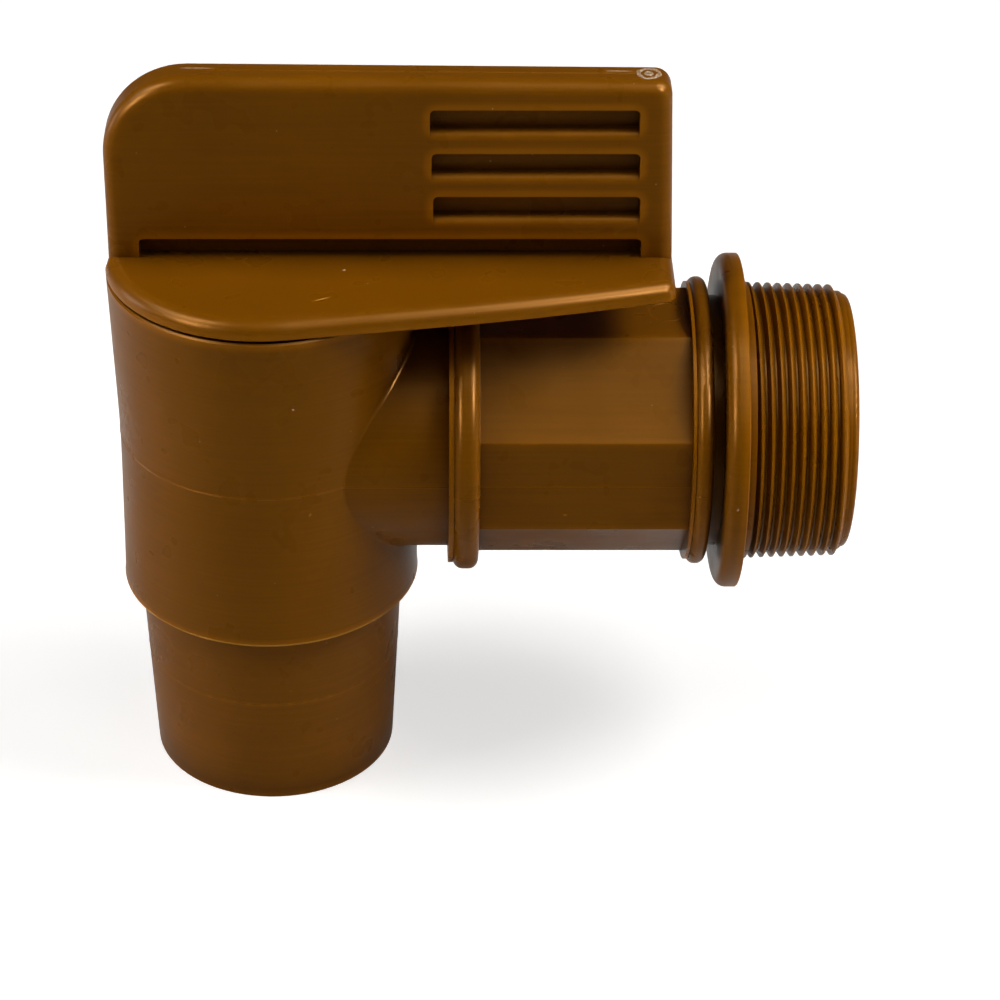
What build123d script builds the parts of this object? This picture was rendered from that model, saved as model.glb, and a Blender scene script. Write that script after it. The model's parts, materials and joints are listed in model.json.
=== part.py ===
from build123d import *
from math import atan, cos, degrees, radians, sin, tan
import os

os.makedirs("parts", exist_ok=True)

# Frame: X runs along the arm towards the drum, Z is up, and the origin lies on the arm's axis
# in the plane of the flange's sealing face. All sizes are in millimetres.

# Inlet: sealing flange, gasket collar, 2-inch taper pipe thread, plain tip
flange_radius = 36.75
flange_thickness = 4.6
flange_back_edge_radius = 2.4
flange_face_chamfer = 0.2
collar_radius = 30.45
collar_length = 2.0
thread_pitch = 25.4 / 11.5
thread_depth = 0.6 * thread_pitch
thread_length = 20.45
thread_taper = 1 / 32
thread_flank_angle = 30.0
thread_crest_width = 0.35
first_turn_x = 0.44
last_turn_x = 21.3
ridge_sunk = 0.1
crest_below_collar = 0.05
tip_radius = 27.9
tip_length = 1.5
tip_edge_radius = 0.9
inlet_radius = 23.6
bore_draft = 1.0
bore_mouth_chamfer = 0.6

# Arm: two lipped rings, an octagon for the spanner between them, a round neck to the barrel
ring_gap = 2.45
ring_gap_radius = 27.5
inlet_bead_radius = 31.6
inlet_bead_width = 3.7
inlet_bead_rounding = 1.7
inlet_lip_radius = 30.6
inlet_lip_width = 0.7
octagon_length = 45.2
octagon_across_flats = 54.7
octagon_flat_width = 21.6
octagon_edge_radius = 0.6
neck_bead_radius = 32.75
neck_bead_width = 5.5
neck_bead_rounding = 2.1
neck_lip_radius = 31.35
neck_lip_width = 1.1
neck_radius = 27.6
neck_fillet = 0.8

# Barrel: upright tube, slightly waisted at the mould's parting plane, with a tapered seat
barrel_distance = 102.9
barrel_top = 38.82
barrel_bottom = -38.18
barrel_top_radius = 33.75
barrel_waist_radius = 32.4
barrel_waist_blend = 300.0
barrel_bottom_radius = 32.95
barrel_rim_chamfer = 0.4

# Plug and spout: hollow taper that turns in the barrel, and goes on below it as the spout
seat_clearance = 0.08
plug_top_radius = 30.3
plug_bottom_radius = 29.45
spout_bottom = -83.9
spout_radius = 27.25
spout_bore_radius = 24.5
cavity_top = 35.7
cavity_draft = 0.45
cavity_corner_chamfer = 3.0
spout_rim_chamfer = 0.15
port_radius = 17.5

# Snap bead on the plug that holds it in a groove of the barrel
snap_height = -34.0
snap_width = 2.4
snap_depth = 0.5
snap_clearance = 0.3

# Rubber rings in grooves of the plug, above and below the port
o_ring_section = 2.6
o_ring_height = 28.0
o_ring_groove_width = 3.2
o_ring_clearance = 0.05

# Lever: teardrop flange on the barrel's rim, with the flag-shaped grip standing on it
lever_gap = 0.65
lever_thickness = 4.15
lever_radius = 33.8
lever_back_flat = 32.5
lever_side_angle = 9.5
lever_straight = 34.0
lever_reach = 87.25
lever_end_half_width = 17.0
lever_corner_radius = 3.0
lever_top_edge_radius = 3.0
lever_bottom_chamfer = 0.35
grip_thickness = 10.4
grip_back = 32.8
grip_front = 87.0
grip_back_height = 41.4
grip_front_height = 40.3
grip_end_lean = 2.2
grip_back_corner_radius = 17.9
grip_front_corner_radius = 3.5
grip_edge_radius = 2.8

# Finger slots: shallow pockets in both faces of the grip
long_slot_height = 4.43
slot_height = 5.1
slot_pitch = 10.02
slot_count = 3
slot_length = 43.5
slot_depth = 3.2
slot_end_margin = 6.75
slot_back_margin = 6.75
slot_corner_radius = 1.1
slot_lip_radius = 1.5

# Places worked out from the sizes above
barrel_x = -barrel_distance
tip_x = collar_length + thread_length + tip_length
inlet_bead_x = -flange_thickness - ring_gap - inlet_bead_width
inlet_lip_x = inlet_bead_x - inlet_lip_width
neck_bead_x = inlet_lip_x - octagon_length - neck_bead_width
root_radius = collar_radius - crest_below_collar - thread_depth
root_end_radius = root_radius - thread_taper * thread_length
ridge_height = thread_depth + ridge_sunk
ridge_half_width = thread_crest_width / 2 + tan(radians(thread_flank_angle)) * ridge_height
ridge_start_radius = root_radius - ridge_sunk + thread_taper * (collar_length - first_turn_x)
bore_inner_radius = inlet_radius - tan(radians(bore_draft)) * (tip_x - barrel_x)
lever_underside = barrel_top + lever_gap
lever_top = lever_underside + lever_thickness
plug_taper = (plug_top_radius - plug_bottom_radius) / (lever_underside - barrel_bottom)
cavity_top_radius = spout_bore_radius - tan(radians(cavity_draft)) * (cavity_top - spout_bottom)
grip_face = grip_thickness / 2
touch = 0.01
upright = Plane((barrel_x, 0, 0), x_dir=(1, 0, 0), z_dir=(0, -1, 0))
barrel_axis = Axis((barrel_x, 0, 0), (0, 0, 1))


def plug_radius(height):
    """Radius of the plug's taper at a height inside the barrel."""
    return plug_bottom_radius + plug_taper * (height - barrel_bottom)


def seat_radius(height):
    """Radius of the barrel's tapered seat at a height."""
    return plug_radius(height) + seat_clearance


def o_ring_centre(height):
    """Distance of a rubber ring's section from the plug's axis, just clear of the seat."""
    return seat_radius(height) - o_ring_clearance - o_ring_section / 2


def on_grip_face(edge):
    """True for an edge that lies in one of the grip's two flat faces."""
    return abs(abs(edge.center().Y) - grip_face) < touch


def snap_profile(radius, depth, width):
    """Half section of the snap bead, or of its groove: sloping flanks, flat crest."""
    return [
        (radius - depth, snap_height - width / 2 - depth),
        (radius, snap_height - width / 2 - depth),
        (radius + depth, snap_height - width / 2),
        (radius + depth, snap_height + width / 2),
        (radius, snap_height + width / 2 + depth),
        (radius - depth, snap_height + width / 2 + depth),
    ]


# Body: barrel, neck, rings, octagon, flange and threaded inlet in one moulding
with BuildPart() as faucet_body:
    # Barrel's outside
    with BuildSketch(upright):
        with BuildLine():
            Polyline(
                (0, barrel_bottom),
                (barrel_bottom_radius, barrel_bottom),
                (barrel_waist_radius, 0),
                (barrel_top_radius, barrel_top),
                (0, barrel_top),
                close=True,
            )
        make_face()
        fillet(vertices().sort_by_distance((barrel_waist_radius, 0))[0], barrel_waist_blend)
    revolve(axis=barrel_axis)
    barrel_rims = faucet_body.edges().filter_by(GeomType.CIRCLE)
    chamfer(barrel_rims.sort_by(Axis.Z)[0], barrel_rim_chamfer)
    barrel_rims = faucet_body.edges().filter_by(GeomType.CIRCLE)
    chamfer(barrel_rims.sort_by(Axis.Z)[-1], barrel_rim_chamfer)

    # Neck, from inside the barrel to the first ring
    with BuildSketch(Plane.YZ.offset(barrel_x)):
        Circle(neck_radius)
    extrude(amount=neck_bead_x - barrel_x)
    neck_joint = faucet_body.edges(Select.LAST).filter_by(
        lambda edge: barrel_x < edge.center().X < barrel_x + barrel_top_radius
    )
    fillet(neck_joint, neck_fillet)

    # Octagon, with softened edges, between the two rings
    with BuildSketch(Plane.YZ.offset(neck_bead_x)):
        Rectangle(octagon_across_flats, octagon_across_flats)
        chamfer(vertices(), (octagon_across_flats - octagon_flat_width) / 2)
        fillet(vertices(), octagon_edge_radius)
    extrude(amount=inlet_bead_x - neck_bead_x)

    # Round core of the arm behind the flange
    with BuildSketch(Plane.YZ.offset(inlet_bead_x)):
        Circle(ring_gap_radius)
    extrude(amount=-flange_thickness - inlet_bead_x)

    # Rings: a rounded bead with a thin lip on its barrel side
    with BuildSketch(Plane.XZ):
        with Locations((neck_bead_x, 0)):
            Rectangle(neck_bead_width, neck_bead_radius, align=(Align.MIN, Align.MIN))
        fillet(vertices().group_by(Axis.Y)[-1], neck_bead_rounding)
        with Locations((neck_bead_x, 0)):
            Rectangle(neck_lip_width, neck_lip_radius, align=(Align.MAX, Align.MIN))
    revolve(axis=Axis.X)
    with BuildSketch(Plane.XZ):
        with Locations((inlet_bead_x, 0)):
            Rectangle(inlet_bead_width, inlet_bead_radius, align=(Align.MIN, Align.MIN))
        fillet(vertices().group_by(Axis.Y)[-1], inlet_bead_rounding)
        with Locations((inlet_bead_x, 0)):
            Rectangle(inlet_lip_width, inlet_lip_radius, align=(Align.MAX, Align.MIN))
    revolve(axis=Axis.X)

    # Flange, gasket collar, thread root and plain tip
    with BuildSketch(Plane.XZ):
        with BuildLine():
            Polyline(
                (-flange_thickness, 0),
                (-flange_thickness, flange_radius),
                (0, flange_radius),
                (0, collar_radius),
                (collar_length, collar_radius),
                (collar_length, root_radius),
                (collar_length + thread_length, root_end_radius),
                (collar_length + thread_length, tip_radius),
                (tip_x, tip_radius),
                (tip_x, 0),
                close=True,
            )
        make_face()
        fillet(vertices().sort_by_distance((-flange_thickness, flange_radius))[0], flange_back_edge_radius)
        chamfer(vertices().sort_by_distance((0, flange_radius))[0], flange_face_chamfer)
        fillet(vertices().sort_by_distance((tip_x, tip_radius))[0], tip_edge_radius)
    revolve(axis=Axis.X)

    # Thread: one helical ridge, from inside the collar to the plain tip
    with BuildLine() as thread_path:
        Helix(
            thread_pitch,
            last_turn_x - first_turn_x,
            ridge_start_radius,
            center=(first_turn_x, 0, 0),
            direction=(1, 0, 0),
            cone_angle=-degrees(atan(thread_taper)),
        )
    with BuildSketch(Plane(thread_path.line @ 0, x_dir=(1, 0, 0), z_dir=thread_path.line % 0)):
        with BuildLine():
            Polyline(
                (-ridge_half_width, 0),
                (-thread_crest_width / 2, ridge_height),
                (thread_crest_width / 2, ridge_height),
                (ridge_half_width, 0),
                close=True,
            )
        make_face()
    sweep(path=thread_path.line, is_frenet=True)

    # Bore of the arm, drafted from its mouth towards the barrel
    with BuildSketch(Plane.XZ):
        with BuildLine():
            Polyline(
                (barrel_x, 0),
                (barrel_x, bore_inner_radius),
                (tip_x - bore_mouth_chamfer, inlet_radius),
                (tip_x, inlet_radius + bore_mouth_chamfer),
                (tip_x, 0),
                close=True,
            )
        make_face()
    revolve(axis=Axis.X, mode=Mode.SUBTRACT)

    # Tapered seat through the barrel, with the groove for the plug's snap bead
    with BuildSketch(upright):
        with BuildLine():
            Polyline(
                (0, barrel_bottom),
                (seat_radius(barrel_bottom), barrel_bottom),
                (seat_radius(barrel_top), barrel_top),
                (0, barrel_top),
                close=True,
            )
        make_face()
        with BuildLine():
            groove_radius = plug_radius(snap_height) + snap_clearance
            Polyline(*snap_profile(groove_radius, snap_depth, snap_width + snap_clearance), close=True)
        make_face()
    revolve(axis=barrel_axis, mode=Mode.SUBTRACT)

faucet_body.part.label = "faucet_body"
export_step(faucet_body.part, "parts/faucet_body.step")


# Grip: upright plate with a large back corner, rounded edges and three short slots in each face,
# sharp but for their rounded lower lips
with BuildPart() as grip:
    grip_front_top = grip_front - tan(radians(grip_end_lean)) * grip_front_height
    with BuildSketch(Plane.XZ):
        with BuildLine():
            Polyline(
                (barrel_x - grip_back, lever_underside),
                (barrel_x - grip_back, lever_top + grip_back_height),
                (barrel_x + grip_front_top, lever_top + grip_front_height),
                (barrel_x + grip_front, lever_top),
                (barrel_x + grip_front, lever_underside),
                close=True,
            )
        make_face()
        back_corner = (barrel_x - grip_back, lever_top + grip_back_height)
        front_corner = (barrel_x + grip_front_top, lever_top + grip_front_height)
        fillet(vertices().sort_by_distance(back_corner)[0], grip_back_corner_radius)
        fillet(vertices().sort_by_distance(front_corner)[0], grip_front_corner_radius)
    extrude(amount=grip_face, both=True)
    grip_outline = grip.edges().filter_by(on_grip_face)
    fillet(grip_outline.filter_by(lambda edge: edge.center().Z > lever_underside + touch), grip_edge_radius)

    for level in range(1, slot_count + 1):
        slot_top = long_slot_height + level * slot_pitch
        slot_end = grip_front - tan(radians(grip_end_lean)) * slot_top - slot_end_margin
        for side in (1, -1):
            with BuildSketch(Plane.XZ.offset(side * grip_face)):
                with Locations((barrel_x + slot_end, lever_top + slot_top)):
                    Rectangle(slot_length, slot_height, align=(Align.MAX, Align.MAX))
                fillet(vertices().group_by(Axis.Y)[-1], slot_corner_radius)
            extrude(amount=-side * slot_depth, mode=Mode.SUBTRACT)
            mouth = grip.edges(Select.LAST).filter_by(on_grip_face)
            fillet(mouth.sort_by(Axis.Z)[0], slot_lip_radius)


# Plug and handle: lever flange, grip, plug and spout in one moulding
with BuildPart() as plug_handle:
    # Lever flange: round over the barrel, straight sides that curve in towards the tip
    side_x = sin(radians(lever_side_angle))
    side_y = cos(radians(lever_side_angle))
    tangent_x = barrel_x + lever_radius * side_x
    tangent_y = lever_radius * side_y
    bend_x = barrel_x + lever_straight
    bend_y = tangent_y - (bend_x - tangent_x) * tan(radians(lever_side_angle))
    end_x = barrel_x + lever_reach
    with BuildSketch(Plane.XY.offset(lever_underside)):
        with BuildLine():
            ThreePointArc((tangent_x, tangent_y), (barrel_x - lever_radius, 0), (tangent_x, -tangent_y))
            Line((tangent_x, -tangent_y), (bend_x, -bend_y))
            TangentArc((bend_x, -bend_y), (end_x, -lever_end_half_width), tangent=(side_y, side_x))
            Line((end_x, -lever_end_half_width), (end_x, lever_end_half_width))
            Line((tangent_x, tangent_y), (bend_x, bend_y))
            TangentArc((bend_x, bend_y), (end_x, lever_end_half_width), tangent=(side_y, -side_x))
        make_face()
        fillet(vertices().group_by(Axis.X)[-1], lever_corner_radius)
    extrude(amount=lever_thickness)
    fillet(plug_handle.faces().sort_by(Axis.Z)[-1].edges(), lever_top_edge_radius)
    chamfer(plug_handle.faces().sort_by(Axis.Z)[0].edges(), lever_bottom_chamfer)

    # The grip's back end comes straight down through the lever's rim
    with BuildSketch(Plane.XY.offset(lever_underside)):
        with Locations((barrel_x - lever_back_flat, 0)):
            Rectangle(lever_radius, grip_thickness, align=(Align.MAX, Align.CENTER))
    extrude(amount=lever_thickness, mode=Mode.SUBTRACT)
    add(grip.part)

    # Long slot at the foot of the grip, in both faces
    long_slot_length = grip_front - slot_end_margin + grip_back - slot_back_margin
    for side in (1, -1):
        with BuildSketch(Plane.XZ.offset(side * grip_face)):
            with Locations((barrel_x + grip_front - slot_end_margin, lever_top)):
                Rectangle(long_slot_length, long_slot_height, align=(Align.MAX, Align.MIN))
            fillet(vertices().group_by(Axis.Y)[-1], slot_corner_radius)
        extrude(amount=-side * slot_depth, mode=Mode.SUBTRACT)

    # Plug and spout, with the snap bead
    with BuildSketch(upright):
        with BuildLine():
            Polyline(
                (0, spout_bottom),
                (spout_radius, spout_bottom),
                (plug_bottom_radius, barrel_bottom),
                (plug_top_radius, lever_underside),
                (0, lever_underside),
                close=True,
            )
        make_face()
        with BuildLine():
            Polyline(*snap_profile(plug_radius(snap_height), snap_depth, snap_width), close=True)
        make_face()
    revolve(axis=barrel_axis)
    spout_rim = plug_handle.edges().filter_by(GeomType.CIRCLE).sort_by(Axis.Z)[0]
    chamfer(spout_rim, spout_rim_chamfer)

    # Cavity, drafted so that it widens towards the spout's mouth
    with BuildSketch(upright):
        with BuildLine():
            Polyline(
                (0, spout_bottom),
                (spout_bore_radius, spout_bottom),
                (cavity_top_radius, cavity_top),
                (0, cavity_top),
                close=True,
            )
        make_face()
        chamfer(vertices().sort_by_distance((cavity_top_radius, cavity_top))[0], cavity_corner_chamfer)
    revolve(axis=barrel_axis, mode=Mode.SUBTRACT)

    # Grooves for the rubber rings
    for height in (o_ring_height, -o_ring_height):
        groove_floor = o_ring_centre(height) - o_ring_section / 2
        with BuildSketch(upright):
            with Locations((groove_floor, height)):
                Rectangle(o_ring_section, o_ring_groove_width, align=(Align.MIN, Align.CENTER))
        revolve(axis=barrel_axis, mode=Mode.SUBTRACT)

    # Port that faces the arm's bore when the lever points along the arm
    with BuildSketch(Plane.YZ.offset(barrel_x)):
        Circle(port_radius)
    extrude(amount=plug_top_radius + snap_depth, mode=Mode.SUBTRACT)

plug_handle.part.label = "plug_handle"
export_step(plug_handle.part, "parts/plug_handle.step")


# Rubber rings, above and below the port
with BuildPart() as upper_o_ring:
    with BuildSketch(upright):
        with Locations((o_ring_centre(o_ring_height), o_ring_height)):
            Circle(o_ring_section / 2)
    revolve(axis=barrel_axis)

upper_o_ring.part.label = "upper_o_ring"
export_step(upper_o_ring.part, "parts/upper_o_ring.step")

with BuildPart() as lower_o_ring:
    with BuildSketch(upright):
        with Locations((o_ring_centre(-o_ring_height), -o_ring_height)):
            Circle(o_ring_section / 2)
    revolve(axis=barrel_axis)

lower_o_ring.part.label = "lower_o_ring"
export_step(lower_o_ring.part, "parts/lower_o_ring.step")
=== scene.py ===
# %% [markdown]
# # A drum faucet in moulded brown polyethylene
# A drum faucet screws into the bung hole of a drum lying on its side. A hollow plug turns in the
# upright barrel: with the lever over the arm its port meets the arm's bore, and the liquid falls
# through the spout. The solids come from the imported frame, at their real size and in their place.
# This lesson adds what makes them look moulded: the plastic itself, the marks that a mould leaves on
# it, and a plain studio. Nothing here moves or resizes a solid.

import json
from math import cos, hypot, pi, radians, sin, tau

import bmesh
import bpy
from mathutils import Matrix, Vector
from mathutils.bvhtree import BVHTree

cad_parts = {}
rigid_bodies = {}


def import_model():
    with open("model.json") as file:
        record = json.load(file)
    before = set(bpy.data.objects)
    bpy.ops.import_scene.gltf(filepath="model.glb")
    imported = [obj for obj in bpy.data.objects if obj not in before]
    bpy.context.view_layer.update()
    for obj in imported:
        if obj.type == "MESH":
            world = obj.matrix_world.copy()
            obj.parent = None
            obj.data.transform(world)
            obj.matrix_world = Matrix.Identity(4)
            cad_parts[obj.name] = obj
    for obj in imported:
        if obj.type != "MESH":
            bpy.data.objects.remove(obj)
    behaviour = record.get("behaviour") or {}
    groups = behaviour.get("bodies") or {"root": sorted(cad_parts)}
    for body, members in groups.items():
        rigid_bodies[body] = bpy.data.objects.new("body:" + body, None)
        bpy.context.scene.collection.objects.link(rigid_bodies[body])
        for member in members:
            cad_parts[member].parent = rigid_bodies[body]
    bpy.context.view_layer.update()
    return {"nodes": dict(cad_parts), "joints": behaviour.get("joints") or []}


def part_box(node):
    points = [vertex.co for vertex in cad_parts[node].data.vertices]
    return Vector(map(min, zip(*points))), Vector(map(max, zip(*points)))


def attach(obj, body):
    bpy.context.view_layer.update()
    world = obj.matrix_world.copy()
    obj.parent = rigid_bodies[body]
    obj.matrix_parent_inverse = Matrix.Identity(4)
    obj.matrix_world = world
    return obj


for leftover in list(bpy.data.objects):
    bpy.data.objects.remove(leftover)

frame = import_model()
print("solids:", ", ".join(sorted(frame["nodes"])))

# %% [markdown]
# ## Units and places
# Blender works in metres and the drawing in millimetres, so every length below is a number times
# `mm`. The main places are read from the frame: the plug's axis from its joint, and the outer faces
# from the boxes of the solids.

# %% Places read from the frame
mm = 0.001
plug_axis = Vector(frame["joints"][0]["pos_m"])
body_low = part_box("faucet_body")[0]
handle_low, handle_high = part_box("plug_handle")
print(f"plug axis at X {plug_axis.x / mm:.2f} mm, spout's mouth at Z {handle_low.z / mm:.2f} mm")

# %% [markdown]
# ## Camera
# The photograph looks down on the faucet by 34 degrees, straight along +Y, through a long lens from
# three quarters of a metre. A camera that only pitches keeps the arm level, so the object is brought
# to its place in the frame by a small lens shift, as with a view camera, and not by a turn.

# %% Camera
camera_pitch = radians(33.98)
camera_distance = 748.9 * mm
camera_aim = Vector((-71.25 * mm, -17.19 * mm, -25.27 * mm))
camera_data = bpy.data.cameras.new("studio_camera")
camera_data.sensor_width = 36
camera_data.lens = 122.353
camera_data.shift_x = 0.0885
camera_data.shift_y = 0.0586
camera_data.clip_start = 0.05
camera = bpy.data.objects.new("studio_camera", camera_data)
camera_back = Vector((0, -cos(camera_pitch), sin(camera_pitch)))
camera.location = camera_aim + camera_back * camera_distance
camera.rotation_euler = (pi / 2 - camera_pitch, 0, 0)
bpy.context.scene.collection.objects.link(camera)
bpy.context.scene.camera = camera
print("camera at", [round(value / mm, 1) for value in camera.location], "mm")

# %% [markdown]
# ## Helpers for materials
# Colours are written as sRGB hex, as a paint chart gives them, and one function turns them to the
# linear values that shaders use. One more function adds a node: its settings by name, its sockets
# either set to a value or linked to another node's output.

# %% Colour and node helpers
def colour(code):
    """Linear RGBA of an sRGB hex colour such as "#7a4500"."""
    channels = [int(code[place:place + 2], 16) / 255 for place in (1, 3, 5)]
    linear = [c / 12.92 if c <= 0.04045 else ((c + 0.055) / 1.055) ** 2.4 for c in channels]
    return (*linear, 1.0)


def add_node(tree, kind, sockets=None, **settings):
    """Add a shader node with its settings, and set or link its input sockets."""
    node = tree.nodes.new("ShaderNode" + kind)
    for name, value in settings.items():
        setattr(node, name, value)
    for socket, value in (sockets or {}).items():
        if isinstance(value, bpy.types.NodeSocket):
            tree.links.new(value, node.inputs[socket])
        else:
            node.inputs[socket].default_value = value
    return node


def new_material(name):
    """An empty node material, with its output node."""
    material = bpy.data.materials.new(name)
    material.use_nodes = True
    material.node_tree.nodes.clear()
    return material, material.node_tree, add_node(material.node_tree, "OutputMaterial")


# %% [markdown]
# ## Brown polyethylene, satin as moulded
# Both mouldings are high-density polyethylene with brown pigment through and through. The mould's
# steel was turned and blasted, so the skin is satin: broad soft highlights, no mirror. Polyethylene's
# IOR is about 1.54, and its blasted skin throws back a good deal less than a polished face would. The
# eye also finds slow clouds in the pigment, sparse pale specks, and very fine tool marks that run round
# the barrel and the spout. A plain colour would look like paint, so the clouds, specks and marks are
# noise in object space, each with its own size in millimetres. Shade is painted into the colour in
# slots, thread and gaps: an ambient occlusion node tells how closed in a point is, and the colour
# darkens with it, so that the recesses stay deep under any light. A highlight is painted on lips,
# beads and thread crests: the same node, looking inwards, finds rounded edges, and the colour is made
# paler there, for the light that goes a millimetre or two into polyethylene and comes out again near
# the edge, and for the edges' own highlights. Seams, too thin for it, go without. Subsurface scattering
# would give the scattered light, at many more samples.

# %% Brown polyethylene
POLYETHYLENE_IOR = 1.54
brown_light = "#844e01"
brown_dark = "#724201"
brown_speck = "#a8845a"
highlight_tint = "#f6bb74"
cloud_size = 26.0
grain_size = 0.35
ripple_size = 9.0
tool_mark_spacing = 0.7
tool_mark_length = 30.0
speck_cell = 6.0
speck_radius = 0.2
# Painted shade: in recesses the colour darkens, down to the share below where a point is most closed in.
recess_reach = 12.0
recess_painted_shade = 0.28
recess_closed, recess_open = 0.3, 0.88
# Painted highlight: the colour is made paler at rounded edges, by up to the share below.
edge_reach = 2.2
edge_painted_highlight = 0.8
edge_thin, edge_thick = 0.65, 0.97
skin_gloss = 0.18
satin_smooth, satin_rough = 0.26, 0.34
grain_strength, grain_relief = 0.05, 0.02
tool_mark_strength, tool_mark_relief = 0.4, 0.03
noise_low, noise_high = 0.3, 0.7
tool_mark_contrast = 0.06
speck_share = 0.7


def brown_polyethylene(name, mark_axis, light=brown_light, dark=brown_dark, painted_highlight=edge_painted_highlight):
    """Satin brown plastic whose tool marks lie across one axis of the piece."""
    material, tree, output = new_material(name)
    place = add_node(tree, "TexCoord").outputs["Object"]
    in_mm = add_node(tree, "VectorMath", {0: place, "Scale": 1 / mm}, operation="SCALE").outputs[0]

    clouds = add_node(tree, "TexNoise", {"Vector": in_mm, "Scale": 1 / cloud_size, "Detail": 3.0})
    brown = add_node(
        tree, "Mix",
        {0: clouds.outputs["Fac"], 6: colour(dark), 7: colour(light)},
        data_type="RGBA",
    ).outputs[2]

    cells = add_node(tree, "TexVoronoi", {"Vector": in_mm, "Scale": 1 / speck_cell})
    speck = add_node(
        tree, "MapRange",
        {0: cells.outputs["Distance"], 1: 1.3 * speck_radius / speck_cell,
         2: 0.5 * speck_radius / speck_cell, 3: 0.0, 4: speck_share},
    ).outputs[0]
    speckled = add_node(
        tree, "Mix", {0: speck, 6: brown, 7: colour(brown_speck)}, data_type="RGBA"
    ).outputs[2]

    stretch = [1 / tool_mark_length] * 3
    stretch[mark_axis] = 1 / tool_mark_spacing
    along_marks = add_node(tree, "VectorMath", {0: in_mm, 1: stretch}, operation="MULTIPLY")
    marks = add_node(tree, "TexNoise", {"Vector": along_marks.outputs[0], "Scale": 1.0, "Detail": 2.0})
    # Painted shade: the colour darkens where the occlusion node finds a point closed in.
    openness = add_node(tree, "AmbientOcclusion", {"Distance": recess_reach * mm}, samples=4).outputs["AO"]
    painted_recess_shade = add_node(
        tree, "MapRange", {0: openness, 1: recess_closed, 2: recess_open, 3: recess_painted_shade, 4: 1.0}
    ).outputs[0]
    # Painted highlight: looking inwards, the occlusion node finds rounded edges, and the colour is made
    # paler there.
    inside = add_node(
        tree, "AmbientOcclusion", {"Distance": edge_reach * mm}, samples=4, inside=True
    ).outputs["AO"]
    edges = add_node(
        tree, "MapRange", {0: inside, 1: edge_thick, 2: edge_thin, 3: 1.0, 4: 1.0 + painted_highlight}
    ).outputs[0]
    streaks = add_node(
        tree, "MapRange",
        {0: marks.outputs["Fac"], 1: noise_low, 2: noise_high,
         3: 1 - tool_mark_contrast, 4: 1 + tool_mark_contrast},
    ).outputs[0]
    painted_shade_and_highlight = add_node(tree, "Math", {0: painted_recess_shade, 1: edges}, operation="MULTIPLY").outputs[0]
    shade = add_node(tree, "Math", {0: painted_shade_and_highlight, 1: streaks}, operation="MULTIPLY").outputs[0]
    shaded = add_node(tree, "VectorMath", {0: speckled, "Scale": shade}, operation="SCALE").outputs[0]

    ripple = add_node(tree, "TexNoise", {"Vector": in_mm, "Scale": 1 / ripple_size, "Detail": 2.0})
    satin = add_node(
        tree, "MapRange",
        {0: ripple.outputs["Fac"], 1: noise_low, 2: noise_high, 3: satin_smooth, 4: satin_rough},
    ).outputs[0]

    grain = add_node(tree, "TexNoise", {"Vector": in_mm, "Scale": 1 / grain_size, "Detail": 1.0})
    skin = add_node(
        tree, "Bump",
        {"Height": grain.outputs["Fac"], "Strength": grain_strength, "Distance": grain_relief * mm},
    )
    tooled = add_node(
        tree, "Bump",
        {"Height": marks.outputs["Fac"], "Strength": tool_mark_strength,
         "Distance": tool_mark_relief * mm, "Normal": skin.outputs[0]},
    )
    shader = add_node(
        tree, "BsdfPrincipled",
        {"Base Color": shaded, "Roughness": satin, "Normal": tooled.outputs[0],
         "IOR": POLYETHYLENE_IOR, "Specular IOR Level": skin_gloss,
         "Specular Tint": colour(highlight_tint)},
    )
    tree.links.new(shader.outputs[0], output.inputs["Surface"])
    return material


Z_AXIS = 2
body_plastic = brown_polyethylene("brown_polyethylene_body", Z_AXIS)
handle_plastic = brown_polyethylene("brown_polyethylene_handle", Z_AXIS)
seam_plastic = brown_polyethylene("brown_polyethylene_seam", Z_AXIS, painted_highlight=0.0)
frame["nodes"]["faucet_body"].data.materials[0] = body_plastic
frame["nodes"]["plug_handle"].data.materials[0] = handle_plastic
print("plastic:", body_plastic.name, handle_plastic.name, seam_plastic.name)

# %% [markdown]
# ## Black rubber
# The two sealing rings are black nitrile rubber, moulded and then greased. They sit between the plug
# and its seat, so they show only when the faucet is taken apart. Rubber has an IOR of about 1.52, and
# grease makes patches of it glossier than the rest.

# %% Black rubber
RUBBER_IOR = 1.52
grease_patch = 4.0
grease_low, grease_high = 0.35, 0.65
rubber_smooth, rubber_rough = 0.3, 0.65
rubber_deep = "#141414"
rubber_worn = "#232220"


def black_rubber(name):
    """Moulded black rubber with patches of grease."""
    material, tree, output = new_material(name)
    place = add_node(tree, "TexCoord").outputs["Object"]
    in_mm = add_node(tree, "VectorMath", {0: place, "Scale": 1 / mm}, operation="SCALE").outputs[0]
    grease = add_node(tree, "TexNoise", {"Vector": in_mm, "Scale": 1 / grease_patch, "Detail": 2.0})
    gloss = add_node(
        tree, "MapRange",
        {0: grease.outputs["Fac"], 1: grease_low, 2: grease_high, 3: rubber_smooth, 4: rubber_rough},
    ).outputs[0]
    black = add_node(
        tree, "Mix", {0: grease.outputs["Fac"], 6: colour(rubber_deep), 7: colour(rubber_worn)},
        data_type="RGBA",
    ).outputs[2]
    shader = add_node(
        tree, "BsdfPrincipled", {"Base Color": black, "Roughness": gloss, "IOR": RUBBER_IOR}
    )
    tree.links.new(shader.outputs[0], output.inputs["Surface"])
    return material


ring_rubber = black_rubber("black_rubber_greased")
for ring in ("upper_o_ring", "lower_o_ring"):
    frame["nodes"][ring].data.materials[0] = ring_rubber
print("rubber:", ring_rubber.name)

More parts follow.
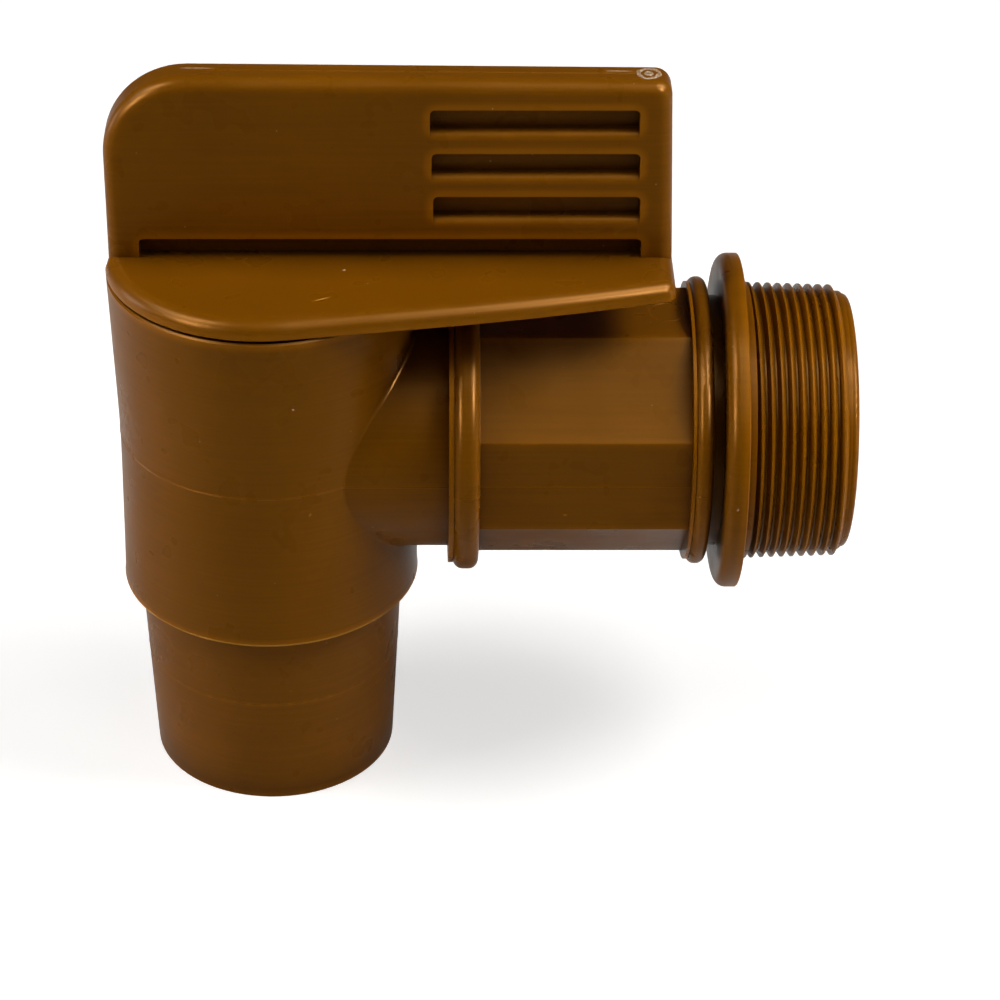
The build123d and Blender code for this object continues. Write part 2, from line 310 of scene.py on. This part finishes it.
# %% [markdown]
# ## Finding the surfaces
# Everything added below is a trace of the mould or of handling, so it has to lie on the solids' own
# surfaces. A search tree over each solid's facets answers where a ray meets it and which way the
# surface faces there. Each mark is then a strip: a row of small closed cross sections, sunk a little
# into the plastic, with faces between them. Blender's curve bevel could sweep a section too, but it
# turns the section freely, and a mould line has to keep facing outwards.

# %% Surface search and strips
sunk = 0.06 * mm
crease_angle = radians(50)
ray_height = 1.0
ray_distance = 0.2


def surface_of(node):
    """A search tree over a solid's facets, in the frame's own coordinates."""
    mesh = frame["nodes"][node].data
    corners = [vertex.co for vertex in mesh.vertices]
    return BVHTree.FromPolygons(corners, [tuple(face.vertices) for face in mesh.polygons])


surfaces = {"body": surface_of("faucet_body"), "handle": surface_of("plug_handle")}


def strip(name, rows, material, body, closed=False):
    """A mesh skinned over rows of closed cross sections, riding on a body."""
    size = len(rows[0])
    work = bmesh.new()
    corners = [[work.verts.new(point) for point in row] for row in rows]
    pairs = list(zip(corners, corners[1:])) + ([(corners[-1], corners[0])] if closed else [])
    for first, second in pairs:
        for place in range(size):
            after = (place + 1) % size
            work.faces.new((first[place], first[after], second[after], second[place]))
    if not closed:
        work.faces.new(corners[0])
        work.faces.new(corners[-1])
    bmesh.ops.recalc_face_normals(work, faces=work.faces)
    mesh = bpy.data.meshes.new(name)
    work.to_mesh(mesh)
    work.free()
    mesh.shade_smooth()
    mesh.set_sharp_from_angle(angle=crease_angle)
    mesh.materials.append(material)
    piece = bpy.data.objects.new(name, mesh)
    bpy.context.scene.collection.objects.link(piece)
    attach(piece, body)
    return piece


print("surfaces:", ", ".join(surfaces))

# %% [markdown]
# ## Parting lines
# The body's mould opens at the level of the arm's axis, and the handle's along the grip's middle.
# Where the halves met, the plastic crept a little way in between, and left a line a few hundredths of
# a millimetre high, drawn here as just under a tenth. Its course is the outline of the solid in the
# parting plane. A bisected copy of the mesh gives that outline, whatever the size of the part, so no
# point of it is written here.

# %% Parting lines
line_height = 0.09 * mm
line_half_width = 0.2 * mm
line_short_side = 0.6
sharp_turn = radians(30)
shortest_run = 2.5 * mm
merge_distance = 0.0005 * mm


def outline_runs(node, plane_normal, keep):
    """Smooth runs of points where a plane through the axis cuts a solid's outside."""
    work = bmesh.new()
    work.from_mesh(frame["nodes"][node].data)
    bmesh.ops.remove_doubles(work, verts=work.verts, dist=merge_distance)
    geometry = work.verts[:] + work.edges[:] + work.faces[:]
    bmesh.ops.bisect_plane(
        work, geom=geometry, dist=merge_distance, plane_co=(0, 0, 0), plane_no=plane_normal,
        clear_inner=True, clear_outer=True,
    )
    edges = [edge for edge in work.edges if keep((edge.verts[0].co + edge.verts[1].co) / 2)]
    links = {}
    for edge in edges:
        for vertex in edge.verts:
            links.setdefault(vertex, []).append(edge)

    def smooth_next(vertex, edge):
        """The edge that goes on from a vertex without a sharp turn."""
        for other in links[vertex]:
            if other is not edge:
                onward = other.other_vert(vertex).co - vertex.co
                arrival = vertex.co - edge.other_vert(vertex).co
                if onward.length and arrival.length and arrival.angle(onward) < sharp_turn:
                    return other
        return None

    runs, used = [], set()
    for seed in edges:
        if seed in used:
            continue
        used.add(seed)
        run = list(seed.verts)
        for grow_end in (True, False):
            edge = seed
            while True:
                tip = run[-1] if grow_end else run[0]
                edge = smooth_next(tip, edge)
                if edge is None or edge in used:
                    break
                used.add(edge)
                run.insert(len(run) if grow_end else 0, edge.other_vert(tip))
        points = [vertex.co.copy() for vertex in run]
        if sum((b - a).length for a, b in zip(points, points[1:])) > shortest_run:
            runs.append(points)
    work.free()
    return runs


def parting_line(name, runs, plane_normal, away_from, material, body):
    """A low ridge along each run, rising away from the inside of the solid."""
    across = Vector(plane_normal)
    profile = (
        (line_half_width, -sunk), (line_half_width, 0.0), (0.0, line_height),
        (-line_short_side * line_half_width, 0.0), (-line_short_side * line_half_width, -sunk),
    )
    for number, points in enumerate(runs):
        rows = []
        for index, point in enumerate(points):
            before, after = points[max(index - 1, 0)], points[min(index + 1, len(points) - 1)]
            outward = (after - before).cross(across).normalized()
            if outward.dot(point - away_from(point)) < 0:
                outward.negate()
            rows.append([point + across * side + outward * out for side, out in profile])
        strip(f"{name}_{number + 1}", rows, material, body)


def on_body_outside(point):
    """True on the outside of barrel, neck, octagon and rings, short of the flange."""
    from_plug = hypot(point.x - plug_axis.x, point.y)
    on_barrel = point.x < neck_start and from_plug > inside_barrel_wall
    return on_barrel or (neck_start <= point.x < flange_back and abs(point.y) > inside_arm_wall)


def body_middle(point):
    """The nearest point of the barrel's axis, or of the arm's."""
    return Vector((plug_axis.x, 0, 0)) if point.x < neck_start else Vector((point.x, 0, 0))


def on_grip_top(point):
    """True along the grip's top edge, from a little behind the plug's axis towards the arm."""
    return point.z > handle_high.z - grip_edge_depth and point.x > grip_edge_start


def grip_middle(point):
    """The point of the arm's plane under a point of the grip."""
    return Vector((point.x, 0, 0))


neck_start = plug_axis.x + 30 * mm
flange_back = -7.5 * mm
inside_barrel_wall = 31.5 * mm
inside_arm_wall = 26 * mm
grip_edge_depth = 1.2 * mm
grip_edge_start = plug_axis.x - 5 * mm
body_runs = outline_runs("faucet_body", (0, 0, 1), on_body_outside)
parting_line("body_parting_line", body_runs, (0, 0, 1), body_middle, seam_plastic, "body")
grip_runs = outline_runs("plug_handle", (0, 1, 0), on_grip_top)
parting_line("grip_parting_line", grip_runs, (0, 1, 0), grip_middle, seam_plastic, "handle")
print("parting lines:", len(body_runs), "runs on the body,", len(grip_runs), "on the grip")

# %% [markdown]
# ## Gate scar and ejector mark
# Molten plastic entered the handle's mould at the end of the grip's top edge. Twisting off the sprue
# there tore the plastic, and torn polyethylene whitens: a ragged pale ring, and a small one inside it.
# A round ejector pin pushed the body out of its mould and left its outline on the octagon's top flat.
# Both are rings laid on a surface. Each point is dropped onto the solid, so a ring follows the grip's
# rounded edge as well as the flat. The raggedness is a sum of sines, the same on every run.

# %% Torn plastic
torn_pale = "#b4946a"
torn_brown = "#825a2a"
tear_size = 0.5
tear_low, tear_high = 0.35, 0.6
tear_strength, tear_relief = 0.5, 0.1
torn_roughness = 0.6


def torn_polyethylene(name):
    """Stress-whitened brown plastic: pale, dull, unevenly stretched."""
    material, tree, output = new_material(name)
    place = add_node(tree, "TexCoord").outputs["Object"]
    in_mm = add_node(tree, "VectorMath", {0: place, "Scale": 1 / mm}, operation="SCALE").outputs[0]
    tears = add_node(tree, "TexNoise", {"Vector": in_mm, "Scale": 1 / tear_size, "Detail": 3.0})
    share = add_node(
        tree, "MapRange", {0: tears.outputs["Fac"], 1: tear_low, 2: tear_high, 3: 0.0, 4: 1.0}
    ).outputs[0]
    pale = add_node(
        tree, "Mix", {0: share, 6: colour(torn_brown), 7: colour(torn_pale)}, data_type="RGBA"
    ).outputs[2]
    rough = add_node(
        tree, "Bump",
        {"Height": tears.outputs["Fac"], "Strength": tear_strength, "Distance": tear_relief * mm},
    )
    shader = add_node(
        tree, "BsdfPrincipled",
        {"Base Color": pale, "Roughness": torn_roughness, "IOR": POLYETHYLENE_IOR,
         "Normal": rough.outputs[0]},
    )
    tree.links.new(shader.outputs[0], output.inputs["Surface"])
    return material


torn_plastic = torn_polyethylene("torn_polyethylene")


def ragged(angle, seed):
    """A repeatable wave between about -1 and 1 round a ring."""
    return (sin(2 * angle + seed) + sin(3 * angle + 2.3 * seed) + 0.7 * sin(7 * angle + 4.1 * seed)) / 2.7


def ring_on_top(name, body, centre_x, radius, width, height, roughness, material, seed=0.0, steps=72):
    """A ridge in a ring round a point of the arm's plane, dropped onto a surface from above."""
    rows = []
    for index in range(steps):
        angle = tau * index / steps
        out = radius * (1 + 0.12 * roughness * ragged(angle, seed))
        high = height * (1 + 0.8 * roughness * ragged(angle, seed + 1.0))
        wide = width * (1 + 0.5 * roughness * ragged(angle, seed + 2.0))
        profile = (
            (-0.5, -sunk), (-0.5, 0.0), (-0.25, high), (0.2, 0.9 * high), (0.5, 0.0), (0.5, -sunk),
        )
        row = []
        for side, rise in profile:
            distance = out + side * wide
            x, y = centre_x + distance * cos(angle), distance * sin(angle)
            foot = surfaces[body].ray_cast(Vector((x, y, ray_height)), Vector((0, 0, -1)))[0]
            row.append(foot + Vector((0, 0, rise)))
        rows.append(row)
    return strip(name, rows, material, body, closed=True)


# %% Gate scar and ejector mark
gate_x = -22.2 * mm
ejector_x = -16.15 * mm
ring_on_top("gate_torn_rim", "handle", gate_x, 2.2 * mm, 0.75 * mm, 0.3 * mm, 1.0, torn_plastic, seed=0.4)
ring_on_top("gate_torn_core", "handle", gate_x, 0.7 * mm, 0.6 * mm, 0.22 * mm, 0.6, torn_plastic, seed=2.1)
ring_on_top("ejector_pin_edge", "body", ejector_x, 3.8 * mm, 0.3 * mm, 0.07 * mm, 0.0, seam_plastic)
print("marks on top: gate scar, ejector pin")

# %% [markdown]
# ## Lines round the spout and the barrel
# A faint line runs round the spout, and the barrel's lower edge carries a thin flash, where plastic crept
# into the mould's joint. The flash is coloured paler than the wall: a painted highlight along that edge.
# A ring of short rays, each shot from outside at the axis, finds the surface all the way round.

# %% Lines round the spout and the barrel
spout_line_z = -57.0 * mm
spout_line_height = 0.08 * mm
spout_line_half_width = 0.18 * mm
flash_above_edge = 0.45 * mm
flash_height = 0.12 * mm
flash_half_width = 0.25 * mm
# Pale browns of the flash's painted highlight, also used for grazes.
pale_graze_and_highlight = "#b07c2c"
deep_graze_and_highlight = "#9a6820"


def ring_round(name, body, level, half_width, height, material, steps=96):
    """A low ridge round the plug's axis at one level, lying on a surface."""
    rows = []
    for index in range(steps):
        angle = tau * index / steps
        outward = Vector((cos(angle), sin(angle), 0))
        row = []
        for side, rise in ((-1.0, -sunk), (-1.0, 0.0), (0.0, height), (1.0, 0.0), (1.0, -sunk)):
            centre = Vector((plug_axis.x, 0, level + side * half_width))
            foot = surfaces[body].ray_cast(centre + outward * ray_distance, -outward)[0]
            row.append(foot + outward * rise)
        rows.append(row)
    return strip(name, rows, material, body, closed=True)


ring_round(
    "spout_turning_line", "handle", spout_line_z, spout_line_half_width, spout_line_height, seam_plastic
)
flash_z = body_low.z + flash_above_edge
# Painted highlight: the flash is paler than the wall, for the light on the barrel's lower edge; grazes
# below share this brown as real wear.
graze_and_painted_highlight = brown_polyethylene("brown_polyethylene_graze_and_painted_highlight", Z_AXIS, pale_graze_and_highlight, deep_graze_and_highlight, painted_highlight=0.0)
ring_round("barrel_edge_flash_painted_highlight", "body", flash_z, flash_half_width, flash_height, graze_and_painted_highlight)
print("lines at Z", round(spout_line_z / mm, 1), "and", round(flash_z / mm, 1), "mm")

# %% [markdown]
# ## Flecks from handling
# Knocks have left a few pale flecks. Each is placed by the pixel at which the photograph shows it: a ray
# from the camera through that pixel finds the spot on the solid, and a low dome sits there, turned in
# the plane of the surface. Torn plastic has gone pale, and a mere graze is as brown as the thin flash.

# %% Flecks from handling
photo_pixels = 1000
focal_pixels = camera_data.lens / camera_data.sensor_width * photo_pixels
centre_across = (0.5 - camera_data.shift_x) * photo_pixels
centre_down = (0.5 + camera_data.shift_y) * photo_pixels
camera_up = Vector((0, sin(camera_pitch), cos(camera_pitch)))
fleck_profile = ((1.0, -sunk), (0.75, 0.03 * mm), (0.35, 0.06 * mm))
fleck_sides = 12
fleck_raggedness = 0.25


def seen_at(body, across, down):
    """The spot of a body that a pixel of the photograph shows, and the way it faces."""
    sight = Vector(((across - centre_across) / focal_pixels, 0, 0)) - camera_back
    sight += camera_up * ((centre_down - down) / focal_pixels)
    return surfaces[body].ray_cast(camera.location, sight.normalized())[:2]


def fleck(name, body, across, down, length, width, turn, material):
    """A low dome of raised plastic on the spot that a pixel shows."""
    spot, facing = seen_at(body, across, down)
    level = Vector((1, 0, 0)) - facing * facing.x
    level.normalize()
    along = level * cos(radians(turn)) + facing.cross(level) * sin(radians(turn))
    beside = facing.cross(along)
    rows = []
    for share, rise in fleck_profile:
        row = []
        for index in range(fleck_sides):
            angle = tau * index / fleck_sides
            reach = share * (1 + fleck_raggedness * ragged(angle, across))
            row.append(
                spot + along * (reach * cos(angle) * length / 2)
                + beside * (reach * sin(angle) * width / 2) + facing * rise
            )
        rows.append(row)
    return strip(name, rows, material, body)


flecks = (
    ("lever_fleck", "handle", 344, 270, 0.9, 0.7, 20, torn_plastic),
    ("lever_scratch", "handle", 322, 299, 4.2, 0.4, 28, graze_and_painted_highlight),
    ("barrel_fleck_upper", "body", 293, 410, 0.7, 0.45, 0, torn_plastic),
    ("barrel_fleck_lower", "body", 310, 515, 0.8, 0.5, 60, graze_and_painted_highlight),
    ("flange_nick", "body", 738, 510, 0.8, 0.5, 80, torn_plastic),
    ("octagon_mark_upper", "body", 565, 515, 0.9, 0.35, 0, graze_and_painted_highlight),
    ("octagon_mark_lower", "body", 572, 533, 0.6, 0.4, 30, graze_and_painted_highlight),
    ("grip_scuff_back", "handle", 197, 68, 7.0, 0.35, 0, torn_plastic),
    ("grip_scuff_front", "handle", 618, 71, 6.0, 0.35, 0, torn_plastic),
)
for name, body, across, down, length, width, turn, material in flecks:
    fleck(name, body, across, down, length * mm, width * mm, turn, material)
print("flecks:", len(flecks))

# %% [markdown]
# ## Floor and surroundings
# The studio is plain: a pale floor under the spout and white all round. The floor is white paper, and
# it glows as well, so that it reaches white while keeping the soft shadow. Camera and glass see the
# glow and the white surroundings in full. Gloss sees them too, but satin plastic mirrors them dimly in
# the photograph, so there they are weaker, and they hardly light the part.

# %% Floor and world
floor_side = 4.0
paper_mottle = 40 / 3 * mm
paper_dark = "#d6d5d2"
paper_light = "#dad9d6"
floor_glow = 0.64
mirrored_glow = 0.04
room_light = 0.005


def backdrop_strength(tree, full, rest):
    """Full to the camera and through glass, dim in a mirror image, the rest for other rays."""
    path = add_node(tree, "LightPath").outputs
    straight = add_node(
        tree, "Math", {0: path["Is Camera Ray"], 1: path["Is Transmission Ray"]}, operation="MAXIMUM"
    ).outputs[0]
    glow = add_node(tree, "MapRange", {0: straight, 1: 0.0, 2: 1.0, 3: rest, 4: full}).outputs[0]
    return add_node(
        tree, "Math", {0: path["Is Glossy Ray"], 1: mirrored_glow, 2: glow}, operation="MULTIPLY_ADD"
    ).outputs[0]


bpy.ops.mesh.primitive_plane_add(size=floor_side, location=(plug_axis.x, 0, handle_low.z))
floor = bpy.context.object
floor.name = "studio_floor"
paper, tree, output = new_material("white_paper_floor")
mottle = add_node(tree, "TexNoise", {"Scale": floor_side / paper_mottle, "Detail": 2.0})
white = add_node(
    tree, "Mix", {0: mottle.outputs["Fac"], 6: colour(paper_dark), 7: colour(paper_light)},
    data_type="RGBA",
)
matte = add_node(tree, "BsdfDiffuse", {"Color": white.outputs[2]})
glow_strength = backdrop_strength(tree, floor_glow, 0.0)
glow = add_node(tree, "Emission", {"Color": colour("#ffffff"), "Strength": glow_strength})
lit = add_node(tree, "AddShader", {0: matte.outputs[0], 1: glow.outputs[0]})
tree.links.new(lit.outputs[0], output.inputs["Surface"])
floor.data.materials.append(paper)

world = bpy.data.worlds.new("white_studio")
world.use_nodes = True
bpy.context.scene.world = world
tree = world.node_tree
tree.nodes.clear()
strength = backdrop_strength(tree, 1.0, room_light)
surround = add_node(tree, "Background", {"Color": colour("#ffffff"), "Strength": strength})
world_output = add_node(tree, "OutputWorld")
tree.links.new(surround.outputs[0], world_output.inputs["Surface"])
print("floor at Z", round(handle_low.z / mm, 2), "mm")

# %% [markdown]
# ## Lights
# The photograph's highlights tell where its lamps stood. Every ring has a bright streak on its upper
# right, and the lever's edge shines most at its right end, so the key softboxes stand high on the right.
# The barrel's left flank is pale from top to bottom: a low lamp and two higher ones stand on the left.
# Little light comes from the front or from above, which keeps the grip's face and the slots dark.
# A round area lamp is a fair softbox, and its power follows from the brightness that it should show.
# Edges are drawn by streak lamps, which only the gloss sees: diffuse rays are switched off for them, so
# they brighten no colour, and they are a little warm, as tungsten lamps are. More power in the softboxes
# would draw the edges as well, and bleach the rest.

# %% Softboxes
softbox_distance = 1.2
softbox_width = 0.45
streak_tint = "#fff2e0"


def softbox(name, azimuth, elevation, brightness, tint="#ffffff", gloss_only=False):
    """A round lamp aimed at the faucet; brightness 1 is as bright as white paper."""
    data = bpy.data.lights.new(name, "AREA")
    data.shape = "DISK"
    data.size = softbox_width
    data.color = colour(tint)[:3]
    data.energy = brightness * pi * pi * (softbox_width / 2) ** 2
    lamp = bpy.data.objects.new(name, data)
    away = Vector((
        sin(radians(azimuth)) * cos(radians(elevation)),
        -cos(radians(azimuth)) * cos(radians(elevation)),
        sin(radians(elevation)),
    ))
    lamp.location = Vector((plug_axis.x / 2, 0, 0)) + away * softbox_distance
    lamp.visible_diffuse = not gloss_only
    lamp.rotation_mode = "QUATERNION"
    lamp.rotation_quaternion = (-away).to_track_quat("-Z", "Y")
    bpy.context.scene.collection.objects.link(lamp)
    return lamp


for name, azimuth, elevation, brightness in (
    ("right_key", 78, 49, 13.5),
    ("right_back_key", 100, 44, 3.6),
    ("front_fill", 24, 60, 2.8),
    ("right_low_fill", 78, 0, 4.4),
    ("left_low_card", -97, 5, 6.8),
    ("left_front_card", -74, 33, 6.8),
    ("left_high_card", -92, 44, 6.0),
):
    softbox(name, azimuth, elevation, brightness)
for name, azimuth, elevation, brightness in (
    ("right_front_streak", 46, 40, 74),
    ("right_high_streak", 62, 64, 30),
    ("right_key_streak", 78, 49, 30),
    ("left_front_streak", -54, 24, 40),
    ("left_high_streak", -66, 53, 28),
):
    softbox(name, azimuth, elevation, brightness, tint=streak_tint, gloss_only=True)

# %% [markdown]
# ## View settings
# The standard view transform keeps a colour as it is written.

# %% Finish
bpy.context.scene.view_settings.view_transform = "Standard"
